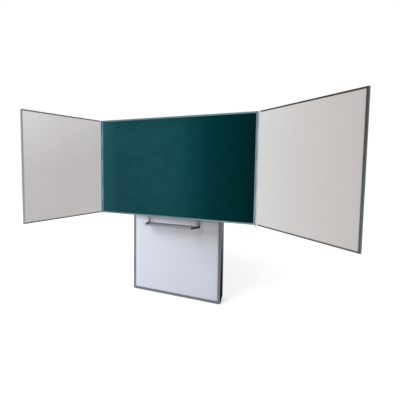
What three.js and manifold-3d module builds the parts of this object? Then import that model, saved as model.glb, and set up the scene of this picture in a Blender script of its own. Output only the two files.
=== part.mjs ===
// Three-panel school board that slides up and down on a counterbalanced wall lift.
// Millimetres, +Z up, +X to the viewer's right; the writing surfaces face -Y.
// Origin: centre of the lift column's foot, on the floor.

import * as THREE from 'three';
import { mergeVertices } from 'three/addons/utils/BufferGeometryUtils.js';
import Module from 'manifold-3d';

const wasm = await Module();
wasm.setup();

// Clearances
const seat_gap = 0.3;
const running_gap = 0.5;

// Centre board
const board_width = 1900;
const board_height = 1200;
const board_bottom_z = 980;
const board_stand_off = 60;
const board_offset = 40;

// Frame bars and panels of all three boards
const board_frame_face = 18;
const wing_frame_face = 14;
const frame_depth = 22;
const frame_box = 8;
const frame_wall = 1.5;
const frame_lip = 2;
const sheet_thickness = 0.7;

// Wings, folded towards the viewer from flat
const wing_meeting_gap = 8;
const left_wing_fold_deg = 67;
const right_wing_fold_deg = 42.5;

// Hinges between the centre board and the wings
const knuckle_radius = 6.5;
const hinge_pin_radius = 3;
const hinge_proud = 4;
const knuckle_web_depth = 9;
const knuckle_count = 7;
const pin_tail = 12;
const pin_tail_radius = 5.5;
const pin_tail_height = 8;

// Lift column
const column_width = 1130;
const column_depth = 160;
const column_height = 2100;

// Guide profiles at the column's sides
const profile_width = 33;
const profile_wall = 2.5;
const profile_face = 3;
const profile_lip = 9;
const profile_corner_width = 11;
const profile_corner_depth = 45;
const panel_groove_depth = 9;
const guide_slot = 16;

// Front panel, bottom rail and wall rails
const panel_thickness = 10;
const panel_top_lap = 18;
const bottom_rail_height = 33;
const bottom_rail_wall = 3;
const bottom_rail_rib = 2.5;
const bottom_rail_rib_height = 16;
const wall_rail_height = 60;
const wall_rail_depth = 30;
const wall_rail_wall = 3;
const lower_wall_rail_z = 260;

// Foot corners
const foot_corner_radius = 30;
const foot_plug_height = 14;

// Head of the column
const cover_wall = 2;
const cover_corner = 12;
const pulley_head_gap = 12;

// Rollers and travel of the lift
const roller_radius = 22;
const roller_width = 14;
const roller_side_gap = 1.5;
const roller_axle_radius = 6;
const roller_hub_radius = 11;
const roller_web = 8;
const roller_tyre = 4;
const lower_roller_rise = 160;
const lift_up = 300;
const lift_down = 450;

// Carriage behind the centre board
const rail_height = 60;
const rail_depth = 30;
const rail_wall = 2;
const arm_thickness = 5;
const arm_column_gap = 4;
const arm_ear_radius = 24;
const arm_hole_radius_share = 0.056;
const arm_hole_pitch_share = 0.24;
const arm_hole_count = 3;
const lug_rise = 56;
const lug_top_gap = 10;
const lug_height = 40;
const lug_depth = 30;

// Cable, pulleys and their brackets
const cable_radius = 2;
const pulley_pitch_radius = 40;
const pulley_flange = 6;
const pulley_half_width = 8;
const pulley_rim_lip = 2;
const pulley_groove_half = 2.6;
const pulley_rim_depth = 8;
const pulley_web_half = 4;
const pulley_hub_radius = 13;
const pulley_hub_proud = 1.5;
const pulley_axle_radius = 6;
const pulley_floor_gap = 3;
const bracket_plate = 5;
const bracket_reach = 89;
const bracket_foot_inset = 3;
const cheek_thickness = 4;
const cheek_base = 70;
const cheek_round = 17;
const cable_hole_radius = 6;
const axle_head_radius = 11;
const axle_head = 5;
const axle_nut = 7;

// Counterweights
const weight_height = 682;
const weight_depth = 84;
const weight_side_gap = 6;
const weight_slab_count = 16;
const weight_notch = 3;
const weight_rod_radius = 7;
const weight_rod_gap = 0.5;
const weight_washer_radius = 22;
const weight_washer = 5;
const weight_nut_radius = 13;
const weight_nut = 14;
const weight_eye_height = 40;
const weight_eye_radius = 9;
const tongue_height = 40;

// Rubber stops in the guide channels
const stop_height = 40;

// Handle and pen tray under the centre board
const handle_offset = 8;
const handle_arm_x = 311;
const handle_arm_width = 28;
const handle_arm_thickness = 5;
const handle_arm_lap = 17;
const handle_arm_corner = 3;
const handle_drop = 74;
const tray_half_width = 321;
const tray_reach = 80;
const tray_height = 20;
const tray_lip_drop = 3;
const tray_wall = 2.5;
const tray_right_slant = 80;
const tray_cap_thickness = 4;
const tray_cap_border = 1.5;

// Facets of the round pieces
const coarse_sides = 12;
const medium_sides = 20;
const fine_sides = 32;
const corner_steps = 4;
const cable_sides = 8;
const wrap_steps = 16;

// Places that follow from the sizes above
const column_half = column_width / 2;
const depth_half = column_depth / 2;
const board_front_y = -depth_half - board_stand_off;
const board_back_y = board_front_y + frame_depth;
const board_middle_x = -board_offset;
const frame_groove = frame_box + seat_gap;
const core_thickness = frame_depth - 2 * frame_lip - 3 * seat_gap - sheet_thickness;
const core_back = frame_depth - frame_lip - seat_gap;

const hinge_reach = knuckle_radius + running_gap;
const hinge_bore_radius = hinge_pin_radius + seat_gap;
const wing_width = (board_width - wing_meeting_gap) / 2;

const channel_half = roller_radius + running_gap;
const channel_depth = roller_width + 2 * roller_side_gap;
const channel_x = column_half - profile_wall - channel_depth / 2;
const profile_inner_x = column_half - profile_width;
const panel_groove = panel_thickness + 2 * seat_gap;

// Places in the guide profile: in from its outer side, or back from its front
const lip_end = profile_width + profile_lip;
const groove_bottom = profile_width - panel_groove_depth;
const groove_back = profile_face + panel_groove;
const pocket_bottom = 2 * profile_wall + channel_depth;
const channel_front = depth_half - channel_half;
const channel_back = depth_half + channel_half;

const pulley_outer_radius = pulley_pitch_radius + pulley_flange;
const head_height =
  seat_gap + bracket_plate + pulley_floor_gap + 2 * pulley_outer_radius + pulley_head_gap + cover_wall;
const profile_top_z = column_height - head_height;
const pulley_x = channel_x - pulley_pitch_radius;
const pulley_z = profile_top_z + seat_gap + bracket_plate + pulley_floor_gap + pulley_outer_radius;
const weight_x = pulley_x - pulley_pitch_radius;
const cheek_inner_y = pulley_half_width + pulley_hub_proud + running_gap;

const lower_roller_z = board_bottom_z + lower_roller_rise;
const lug_z = profile_top_z - lift_up - lug_top_gap - lug_height / 2;
const upper_roller_z = lug_z - lug_rise;
const arm_inner_x = column_half + arm_column_gap;

const weight_half_width = profile_inner_x - weight_x - weight_side_gap;
const weight_bottom_z = bottom_rail_wall + lift_up + running_gap + weight_nut + weight_washer;
const weight_top_z = weight_bottom_z + weight_height;

const tray_top_z = board_bottom_z - handle_drop;
const tray_front_y = board_front_y - tray_reach;
const tray_rear_y = board_back_y;
const tray_left = -tray_half_width - handle_offset;
const tray_right = tray_half_width - handle_offset;

// Axes as vectors, and the placing of sections drawn flat
const X = new THREE.Vector3(1, 0, 0);
const Y = new THREE.Vector3(0, 1, 0);
const Z = new THREE.Vector3(0, 0, 1);
const drawn_in_yz = new THREE.Matrix4().makeBasis(Y, Z, X);
const drawn_in_xz = new THREE.Matrix4().makeBasis(X, Z, Y.clone().negate());

// Finishes
function finish(color, roughness, metalness) {
  return new THREE.MeshStandardMaterial({ color, roughness, metalness });
}

const frame_finish = finish('#9aa5ab', 0.38, 0.85);
const column_finish = finish('#80808a', 0.4, 0.85);
const green_finish = finish('#1b4b50', 0.45, 0);
const white_finish = finish('#d2d3d2', 0.25, 0);
const panel_finish = finish('#d4d8e2', 0.4, 0);
const core_finish = finish('#b9b7b0', 0.7, 0);
const steel_finish = finish('#8d9096', 0.35, 0.9);
const dark_steel_finish = finish('#4a4d52', 0.5, 0.5);
const iron_finish = finish('#3a3b3d', 0.7, 0.4);
const nylon_finish = finish('#d8d5c8', 0.5, 0);
const black_finish = finish('#121214', 0.5, 0);
const rubber_finish = finish('#1c1c1c', 0.85, 0);
const handle_finish = finish('#7d7d87', 0.4, 0.8);

// A flat outline from [across, up] points, with any holes
function outline(points, holes = []) {
  const shape = new THREE.Shape(points.map(([a, b]) => new THREE.Vector2(a, b)));
  shape.holes = holes.map((hole) => new THREE.Path(hole.map(([a, b]) => new THREE.Vector2(a, b))));
  return shape;
}

function rectangle(left, right, low, high) {
  return [[left, low], [right, low], [right, high], [left, high]];
}

// Points of a circle, counter-clockwise
function circle(centre_a, centre_b, radius, sides) {
  return Array.from({ length: sides }, (_, i) => {
    const angle = (2 * Math.PI * i) / sides;
    return [centre_a + radius * Math.cos(angle), centre_b + radius * Math.sin(angle)];
  });
}

// Points of an arc between two angles, both ends included
function arc(centre_a, centre_b, radius, from, to, steps) {
  return Array.from({ length: steps + 1 }, (_, i) => {
    const angle = from + ((to - from) * i) / steps;
    return [centre_a + radius * Math.cos(angle), centre_b + radius * Math.sin(angle)];
  });
}

// A rectangle whose four corners are rounded
function roundedRectangle(left, right, low, high, radius) {
  const quarter = Math.PI / 2;
  return [
    ...arc(right - radius, low + radius, radius, -quarter, 0, corner_steps),
    ...arc(right - radius, high - radius, radius, 0, quarter, corner_steps),
    ...arc(left + radius, high - radius, radius, quarter, 2 * quarter, corner_steps),
    ...arc(left + radius, low + radius, radius, 2 * quarter, 3 * quarter, corner_steps),
  ];
}

function extrude(shape, one_end, other_end) {
  const depth = Math.abs(other_end - one_end);
  const geometry = new THREE.ExtrudeGeometry(shape, { depth, bevelEnabled: false });
  geometry.translate(0, 0, Math.min(one_end, other_end));
  return geometry;
}

// Sections drawn in X and Y that run up Z, in Y and Z that run along X, in X and Z that run along Y
function extrudeUp(shape, one_end, other_end) {
  return extrude(shape, one_end, other_end);
}

function extrudeAcross(shape, one_end, other_end) {
  return extrude(shape, one_end, other_end).applyMatrix4(drawn_in_yz);
}

function extrudeBack(shape, front, back) {
  return extrude(shape, -front, -back).applyMatrix4(drawn_in_xz);
}

// Turned pieces: [radius, along] points around the Z, X or Y axis
function turnedUp(points, sides) {
  const profile = points.map(([radius, along]) => new THREE.Vector2(radius, along));
  return new THREE.LatheGeometry(profile, sides).rotateX(Math.PI / 2);
}

function turnedAcross(points, sides) {
  return turnedUp(points, sides).rotateY(Math.PI / 2);
}

function turnedBack(points, sides) {
  const profile = points.map(([radius, along]) => new THREE.Vector2(radius, along));
  return new THREE.LatheGeometry(profile, sides);
}

// Boolean work on closed meshes
function solidOf(geometry) {
  const bare = geometry.clone();
  bare.deleteAttribute('normal');
  bare.deleteAttribute('uv');
  const merged = mergeVertices(bare);
  const mesh = new wasm.Mesh({
    numProp: 3,
    vertProperties: merged.attributes.position.array,
    triVerts: Uint32Array.from(merged.index.array),
  });
  return new wasm.Manifold(mesh);
}

function geometryOf(solid) {
  const mesh = solid.getMesh();
  const geometry = new THREE.BufferGeometry();
  geometry.setAttribute('position', new THREE.BufferAttribute(mesh.vertProperties, 3));
  geometry.setIndex(new THREE.BufferAttribute(mesh.triVerts, 1));
  geometry.computeVertexNormals();
  return geometry;
}

function join(first, ...others) {
  return geometryOf(others.reduce((sum, part) => sum.add(solidOf(part)), solidOf(first)));
}

function cut(first, ...tools) {
  return geometryOf(tools.reduce((rest, tool) => rest.subtract(solidOf(tool)), solidOf(first)));
}

function addPiece(group, name, geometry, material) {
  const mesh = new THREE.Mesh(geometry, material.clone());
  mesh.name = name;
  group.add(mesh);
  return mesh;
}

// One frame bar with mitred ends: its section is [inset from the outer edge, depth behind the front]
function frameBar(length, inward, face) {
  const section = outline(
    [
      [0, 0],
      [face, 0],
      [face, frame_lip],
      [frame_box, frame_lip],
      [frame_box, frame_depth - frame_lip],
      [face, frame_depth - frame_lip],
      [face, frame_depth],
      [0, frame_depth],
    ],
    [rectangle(frame_wall, frame_box - frame_wall, frame_wall, frame_depth - frame_wall)],
  );
  const geometry = extrude(section, 0, length);
  const mitre_gap = seat_gap / Math.SQRT2;
  const position = geometry.attributes.position;
  for (let i = 0; i < position.count; i += 1) {
    const shortening = position.getX(i) + mitre_gap;
    const far_end = position.getZ(i) > length / 2;
    position.setZ(i, far_end ? length - shortening : shortening);
  }
  geometry.computeVertexNormals();
  const along = new THREE.Vector3().crossVectors(inward, Y);
  return geometry.applyMatrix4(new THREE.Matrix4().makeBasis(inward, Y, along));
}

// Hinge knuckles beside an upright edge at edge_x: every second one, with its web into the bar
function knuckles(edge_x, outward, first) {
  const axis_x = edge_x + outward * hinge_reach;
  const bore = circle(axis_x, -hinge_proud, hinge_bore_radius, fine_sides / 2);
  const barrel = outline(circle(axis_x, -hinge_proud, knuckle_radius, fine_sides / 2), [bore]);
  const web_start = axis_x - outward * (hinge_bore_radius + seat_gap);
  const web_end = edge_x - (outward * frame_wall) / 2;
  const web_front = -hinge_proud + hinge_pin_radius / 2;
  const web = outline(rectangle(
    Math.min(web_start, web_end),
    Math.max(web_start, web_end),
    web_front,
    web_front + knuckle_web_depth,
  ));
  const pitch = board_height / knuckle_count;
  const pieces = [];
  for (let i = first; i < knuckle_count; i += 2) {
    const low = i * pitch + running_gap;
    const high = (i + 1) * pitch - running_gap;
    pieces.push(extrudeUp(barrel, low, high), extrudeUp(web, low, high));
  }
  return pieces;
}

// A framed board: four mitred bars, a writing sheet and the core behind it.
// Its own origin is the lower left front corner of the frame.
function framedBoard(prefix, width, face, side_names, hinged, first_knuckle, sheet_name, sheet_finish) {
  const group = new THREE.Group();
  const down = Z.clone().negate();
  const left = X.clone().negate();
  const bars = [
    { name: 'bottom_rail', length: width, inward: Z, x: width, z: 0 },
    { name: 'top_rail', length: width, inward: down, x: 0, z: board_height },
    { name: side_names.left, length: board_height, inward: X, x: 0, z: 0, outward: -1 },
    { name: side_names.right, length: board_height, inward: left, x: width, z: board_height, outward: 1 },
  ];
  for (const bar of bars) {
    let geometry = frameBar(bar.length, bar.inward, face).translate(bar.x, 0, bar.z);
    if (hinged.includes(bar.outward)) {
      geometry = join(geometry, ...knuckles(bar.x, bar.outward, first_knuckle));
    }
    addPiece(group, `${prefix}_${bar.name}`, geometry, frame_finish);
  }
  const field = outline(
    rectangle(frame_groove, width - frame_groove, frame_groove, board_height - frame_groove),
  );
  const sheet_front = frame_lip + seat_gap;
  const core_front = sheet_front + sheet_thickness + seat_gap;
  const sheet = extrudeBack(field, sheet_front, sheet_front + sheet_thickness);
  addPiece(group, sheet_name, sheet, sheet_finish);
  const core = extrudeBack(field, core_front, core_front + core_thickness);
  addPiece(group, `${prefix}_core`, core, core_finish);
  return group;
}

// Centre board
function centreBoard() {
  const side_names = { left: 'left_stile', right: 'right_stile' };
  const group = framedBoard(
    'board', board_width, board_frame_face, side_names, [-1, 1], 0, 'writing_surface', green_finish,
  );
  group.position.set(board_middle_x - board_width / 2, board_front_y, board_bottom_z);
  return group;
}

// Where a hinge axis stands beside the centre board
function hingeX(hand) {
  return board_middle_x + hand * (board_width / 2 + hinge_reach);
}

// A wing in a group whose origin is the foot of its hinge axis
function wing(side, hand, fold_deg) {
  const hinge = new THREE.Group();
  hinge.position.set(hingeX(hand), board_front_y - hinge_proud, board_bottom_z);
  hinge.rotation.z = -hand * THREE.MathUtils.degToRad(fold_deg);
  const side_names = hand > 0
    ? { left: 'hinge_stile', right: 'free_stile' }
    : { left: 'free_stile', right: 'hinge_stile' };
  const prefix = `${side}_wing`;
  const board = framedBoard(
    prefix, wing_width, wing_frame_face, side_names, [-hand], 1, `${prefix}_surface`, white_finish,
  );
  board.position.set(hand > 0 ? hinge_reach : -hinge_reach - wing_width, hinge_proud, 0);
  hinge.add(board);
  return hinge;
}

// Hinge pins: full height, with a plastic tail that shows below the corner
function hingePin(side, hand, group) {
  const geometry = turnedUp([
    [0, -pin_tail],
    [pin_tail_radius, -pin_tail],
    [pin_tail_radius, pin_tail_height - pin_tail],
    [hinge_pin_radius, pin_tail_height - pin_tail],
    [hinge_pin_radius, board_height - hinge_proud],
    [0, board_height - hinge_proud],
  ], coarse_sides);
  const pin = addPiece(group, `${side}_hinge_pin`, geometry, dark_steel_finish);
  pin.position.set(hingeX(hand), board_front_y - hinge_proud, board_bottom_z);
}

// Places in a guide profile: [distance in from the outer side, distance back from the front]
function inProfile(hand) {
  return ([inset, back]) => [hand * (column_half - inset), back - depth_half];
}

// The sides that guide profile and foot corner share: slanted front corner, pocket, groove and lip
const profile_front_corner = [
  [profile_corner_width, 0],
  [0, profile_corner_depth],
];
const profile_inner_side = [
  [0, column_depth],
  [profile_width, column_depth],
  [profile_width, channel_back],
  [pocket_bottom, channel_back],
  [pocket_bottom, channel_front],
  [profile_width, channel_front],
  [profile_width, groove_back],
  [groove_bottom, groove_back],
  [groove_bottom, profile_face],
  [lip_end, profile_face],
  [lip_end, 0],
];

// Guide profile: roller channel with its slot outside, pocket for the counterweight's tongues inside
function guideProfile(side, hand, group) {
  const channel_end = profile_wall + channel_depth;
  const roller_channel = [
    [0, depth_half - guide_slot / 2],
    [profile_wall, depth_half - guide_slot / 2],
    [profile_wall, channel_front],
    [channel_end, channel_front],
    [channel_end, channel_back],
    [profile_wall, channel_back],
    [profile_wall, depth_half + guide_slot / 2],
    [0, depth_half + guide_slot / 2],
  ];
  const front_chamber = [
    [profile_corner_width + profile_wall, profile_wall],
    [groove_bottom - profile_wall, profile_wall],
    [groove_bottom - profile_wall, groove_back + profile_wall],
    [profile_width - profile_wall, groove_back + profile_wall],
    [profile_width - profile_wall, channel_front - profile_wall],
    [profile_wall, channel_front - profile_wall],
    [profile_wall, profile_corner_depth + profile_wall],
  ];
  const rear_chamber = rectangle(
    profile_wall, profile_width - profile_wall, channel_back + profile_wall, column_depth - profile_wall,
  );
  const edge = [...profile_front_corner, ...roller_channel, ...profile_inner_side];
  const holes = [front_chamber, rear_chamber];
  const section = outline(edge.map(inProfile(hand)), holes.map((hole) => hole.map(inProfile(hand))));
  const geometry = extrudeUp(section, bottom_rail_height + seat_gap, profile_top_z);
  addPiece(group, `${side}_guide_profile`, geometry, column_finish);
}

// Foot corner: a block under the guide profile, rounded at its lower outer edge, with two plugs
function footCorner(side, hand, group) {
  const plan = [...profile_front_corner, ...profile_inner_side].map(inProfile(hand));
  const block = extrudeUp(outline(plan), 0, bottom_rail_height);
  const quarter = Math.PI / 2;
  const radius = foot_corner_radius;
  const waste_outline = [
    [radius, -seat_gap],
    [-seat_gap, -seat_gap],
    [-seat_gap, radius],
    ...arc(radius, radius, radius, 2 * quarter, 3 * quarter, corner_steps),
  ].map(([inset, up]) => [hand * (column_half - inset), up]);
  const waste = extrudeBack(outline(waste_outline), -depth_half - seat_gap, depth_half + seat_gap);
  const plug_inset = profile_wall + seat_gap;
  const front_plug = [
    [profile_corner_width + plug_inset, groove_back + plug_inset],
    [profile_width - plug_inset, groove_back + plug_inset],
    [profile_width - plug_inset, channel_front - plug_inset],
    [plug_inset, channel_front - plug_inset],
    [plug_inset, profile_corner_depth + plug_inset],
  ];
  const rear_plug = rectangle(
    plug_inset, profile_width - plug_inset, channel_back + plug_inset, column_depth - plug_inset,
  );
  const plugs = [front_plug, rear_plug].map((plug) => extrudeUp(
    outline(plug.map(inProfile(hand))), bottom_rail_height / 2, bottom_rail_height + foot_plug_height,
  ));
  addPiece(group, `${side}_foot_corner`, join(cut(block, waste), ...plugs), column_finish);
}

// Bottom rail: a pan between the foot corners, with a groove for the front panel's lower edge.
// Its front wall is cut back at both ends for the corners' lips.
function bottomRail(group) {
  const length_half = profile_inner_x - seat_gap;
  const lip_back = -depth_half + profile_face;
  const rib_front = lip_back + panel_groove;
  const rib_back = rib_front + bottom_rail_rib;
  const section = outline([
    [-depth_half, 0],
    [depth_half, 0],
    [depth_half, bottom_rail_height],
    [depth_half - bottom_rail_wall, bottom_rail_height],
    [depth_half - bottom_rail_wall, bottom_rail_wall],
    [rib_back, bottom_rail_wall],
    [rib_back, bottom_rail_rib_height],
    [rib_front, bottom_rail_rib_height],
    [rib_front, bottom_rail_wall],
    [lip_back, bottom_rail_wall],
    [lip_back, bottom_rail_height],
    [-depth_half, bottom_rail_height],
  ]);
  const notch = outline(rectangle(
    -depth_half - seat_gap, lip_back + seat_gap, -seat_gap, bottom_rail_height + seat_gap,
  ));
  const notchAt = (hand) => extrudeAcross(
    notch, hand * (column_half - lip_end - seat_gap), hand * column_half,
  );
  const bar = extrudeAcross(section, -length_half, length_half);
  addPiece(group, 'column_bottom_rail', cut(bar, notchAt(-1), notchAt(1)), column_finish);
}

// White front panel, held in the grooves of the profiles and the bottom rail
function frontPanel(group) {
  const half = profile_inner_x + panel_groove_depth - seat_gap;
  const front = -depth_half + profile_face + seat_gap;
  const field = outline(rectangle(-half, half, bottom_rail_wall + seat_gap, profile_top_z + panel_top_lap));
  addPiece(group, 'column_front_panel', extrudeBack(field, front, front + panel_thickness), panel_finish);
}

// Wall rails: channels between the guide profiles, their flat webs against the wall
function wallRail(name, low_z, group) {
  const length_half = profile_inner_x - seat_gap;
  const front = depth_half - wall_rail_depth;
  const web_front = depth_half - wall_rail_wall;
  const high_z = low_z + wall_rail_height;
  const section = outline([
    [front, low_z],
    [depth_half, low_z],
    [depth_half, high_z],
    [front, high_z],
    [front, high_z - wall_rail_wall],
    [web_front, high_z - wall_rail_wall],
    [web_front, low_z + wall_rail_wall],
    [front, low_z + wall_rail_wall],
  ]);
  addPiece(group, name, extrudeAcross(section, -length_half, length_half), dark_steel_finish);
}

// Head cover: a folded cap, open below, over the pulleys
function headCover(group) {
  const low_z = profile_top_z + seat_gap;
  const capSection = (inset, low) => {
    const half = depth_half - inset;
    const high = column_height - inset;
    const radius = cover_corner - inset;
    return outline([
      [-half, low],
      [half, low],
      ...arc(half - radius, high - radius, radius, 0, Math.PI / 2, corner_steps),
      ...arc(radius - half, high - radius, radius, Math.PI / 2, Math.PI, corner_steps),
    ]);
  };
  const shell = extrudeAcross(capSection(0, low_z), -column_half, column_half);
  const hollow_half = column_half - cover_wall;
  const hollow = extrudeAcross(capSection(cover_wall, low_z - cover_wall), -hollow_half, hollow_half);
  addPiece(group, 'head_cover', cut(shell, hollow), column_finish);
}

// Pulley bracket: a plate on the profile's end with two cheeks that carry the axle
function pulleyBracket(side, hand, group) {
  const outer = hand * (column_half - cover_wall - seat_gap);
  const inner = hand * (column_half - bracket_foot_inset - bracket_reach - profile_width);
  const left = Math.min(outer, inner);
  const right = Math.max(outer, inner);
  const plate_front = -depth_half + profile_face + seat_gap + panel_thickness + running_gap;
  const plate_back = depth_half - bracket_foot_inset;
  const low = profile_top_z + seat_gap;
  const high = low + bracket_plate;
  const cable_holes = [channel_x, weight_x].map(
    (x) => circle(hand * x, 0, cable_hole_radius, coarse_sides),
  );
  const plate = extrudeUp(
    outline(rectangle(left, right, plate_front, plate_back), cable_holes), low, high,
  );
  const axle_hole = circle(hand * pulley_x, pulley_z, pulley_axle_radius + seat_gap, medium_sides);
  const cheek = outline([
    [hand * pulley_x - cheek_base / 2, high - bracket_plate / 2],
    [hand * pulley_x + cheek_base / 2, high - bracket_plate / 2],
    ...arc(hand * pulley_x, pulley_z, cheek_round, 0, Math.PI, medium_sides / 2),
  ], [axle_hole]);
  const geometry = join(
    plate,
    extrudeBack(cheek, cheek_inner_y, cheek_inner_y + cheek_thickness),
    extrudeBack(cheek, -cheek_inner_y - cheek_thickness, -cheek_inner_y),
  );
  addPiece(group, `${side}_pulley_bracket`, geometry, dark_steel_finish);
}

// Pulley axle: a bolt with a hexagon head in front and a nut behind
function pulleyAxle(side, hand, group) {
  const face = cheek_inner_y + cheek_thickness + seat_gap;
  const hexagon = outline(circle(0, 0, axle_head_radius, 6));
  const shank = turnedBack([
    [0, -face - axle_head / 2],
    [pulley_axle_radius, -face - axle_head / 2],
    [pulley_axle_radius, face + axle_nut / 2],
    [0, face + axle_nut / 2],
  ], medium_sides);
  const geometry = join(
    shank,
    extrudeBack(hexagon, -face - axle_head, -face),
    extrudeBack(hexagon, face, face + axle_nut),
  );
  const axle = addPiece(group, `${side}_pulley_axle`, geometry, steel_finish);
  axle.position.set(hand * pulley_x, 0, pulley_z);
}

// Grooved pulley: [radius, along the axle]
function pulley(side, hand, group) {
  const bore = pulley_axle_radius + seat_gap;
  const hub_half = pulley_half_width + pulley_hub_proud;
  const groove_radius = pulley_pitch_radius - cable_radius - seat_gap;
  const rim_inner = groove_radius - pulley_rim_depth;
  const half_profile = [
    [bore, hub_half],
    [pulley_hub_radius, hub_half],
    [pulley_hub_radius, pulley_web_half],
    [rim_inner, pulley_web_half],
    [rim_inner, pulley_half_width],
    [pulley_outer_radius, pulley_half_width],
    [pulley_outer_radius, pulley_half_width - pulley_rim_lip],
    [groove_radius, pulley_groove_half],
  ];
  const front_half = half_profile.map(([radius, along]) => [radius, -along]);
  const back_half = half_profile.slice().reverse();
  const geometry = turnedBack([half_profile[0], ...front_half, ...back_half], fine_sides);
  const wheel = addPiece(group, `${side}_pulley`, geometry, nylon_finish);
  wheel.position.set(hand * pulley_x, 0, pulley_z);
}

// Lift cable: two upright runs and the half turn over the pulley
function cable(side, hand, group) {
  const section = outline(circle(0, 0, cable_radius, cable_sides));
  const end_z = pulley_z - seat_gap;
  const run_foot_z = lug_z + lug_height / 2 + seat_gap;
  const weight_foot_z = weight_top_z + weight_washer + weight_eye_height + seat_gap;
  const board_run = addPiece(
    group, `${side}_cable_board_run`, extrudeUp(section, run_foot_z, end_z), steel_finish,
  );
  board_run.position.set(hand * channel_x, 0, 0);
  const weight_run = addPiece(
    group, `${side}_cable_weight_run`, extrudeUp(section, weight_foot_z, end_z), steel_finish,
  );
  weight_run.position.set(hand * weight_x, 0, 0);
  const half_turn = new THREE.CatmullRomCurve3(
    arc(0, 0, pulley_pitch_radius, 0, Math.PI, wrap_steps).map(([a, b]) => new THREE.Vector3(a, 0, b)),
  );
  const wrap_geometry = new THREE.ExtrudeGeometry(section, {
    steps: wrap_steps, extrudePath: half_turn, bevelEnabled: false,
  });
  const wrap = addPiece(group, `${side}_cable_wrap`, wrap_geometry, steel_finish);
  wrap.position.set(hand * pulley_x, 0, pulley_z);
}

// Counterweight: a stack of iron slabs with a bore for its rod, and tongues that run in the profile
function counterweight(side, hand, group) {
  const slab = weight_height / weight_slab_count;
  const edge = [];
  for (let i = 0; i < weight_slab_count; i += 1) {
    const low = i * slab;
    const high = low + slab;
    edge.push([weight_half_width - weight_notch, low]);
    edge.push([weight_half_width, low + weight_notch]);
    edge.push([weight_half_width, high - weight_notch]);
  }
  edge.push([weight_half_width - weight_notch, weight_height]);
  const mirrored = edge.map(([across, up]) => [-across, up]).reverse();
  const stack = extrudeBack(outline([...edge, ...mirrored]), -weight_depth / 2, weight_depth / 2);
  const bore_radius = weight_rod_radius + weight_rod_gap;
  const bore = extrudeUp(
    outline(circle(0, 0, bore_radius, medium_sides)), -weight_notch, weight_height + weight_notch,
  );
  const tongue_tip = column_half - pocket_bottom - weight_x - running_gap;
  const tongue_half = channel_half - running_gap;
  const tongue_root = weight_half_width / 2;
  const tongue_at = (low) => {
    const block = outline(rectangle(-tongue_half, tongue_half, low, low + tongue_height));
    return extrudeAcross(block, hand * tongue_root, hand * tongue_tip);
  };
  const upper_tongue = tongue_at(weight_height - weight_notch - tongue_height);
  const solid = join(stack, tongue_at(weight_notch), upper_tongue);
  const weight = addPiece(group, `${side}_counterweight`, cut(solid, bore), iron_finish);
  weight.position.set(hand * weight_x, 0, weight_bottom_z);
}

// Rod through the stack: nut and washer below, washer and cable socket above
function weightRod(side, hand, group) {
  const foot = -weight_washer - weight_nut - seat_gap;
  const geometry = turnedUp([
    [0, foot],
    [weight_nut_radius, foot],
    [weight_nut_radius, -weight_washer - seat_gap],
    [weight_washer_radius, -weight_washer - seat_gap],
    [weight_washer_radius, -seat_gap],
    [weight_rod_radius, -seat_gap],
    [weight_rod_radius, weight_height + seat_gap],
    [weight_washer_radius, weight_height + seat_gap],
    [weight_washer_radius, weight_height + weight_washer],
    [weight_eye_radius, weight_height + weight_washer],
    [weight_eye_radius / 2, weight_height + weight_washer + weight_eye_height],
    [0, weight_height + weight_washer + weight_eye_height],
  ], medium_sides);
  const rod = addPiece(group, `${side}_weight_rod`, geometry, steel_finish);
  rod.position.set(hand * weight_x, 0, weight_bottom_z);
}

// Rubber stop in the guide channel, where the lower roller comes to rest
function downStop(side, hand, group) {
  const top = lower_roller_z - lift_down - roller_radius - running_gap;
  const half_x = channel_depth / 2 - seat_gap;
  const half_y = channel_half - seat_gap;
  const block = outline(rectangle(
    hand * channel_x - half_x,
    hand * channel_x + half_x,
    -half_y,
    half_y,
  ));
  addPiece(group, `${side}_down_stop`, extrudeUp(block, top - stop_height, top), rubber_finish);
}

// Carriage rails: square tubes across the back of the centre board
function carriageRail(name, middle_z, group) {
  const half = arm_inner_x - seat_gap;
  const front = board_front_y + core_back + seat_gap;
  const back = front + rail_depth;
  const low = middle_z - rail_height / 2;
  const high = middle_z + rail_height / 2;
  const section = outline(
    rectangle(front, back, low, high),
    [rectangle(front + rail_wall, back - rail_wall, low + rail_wall, high - rail_wall)],
  );
  addPiece(group, name, extrudeAcross(section, -half, half), dark_steel_finish);
}

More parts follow.
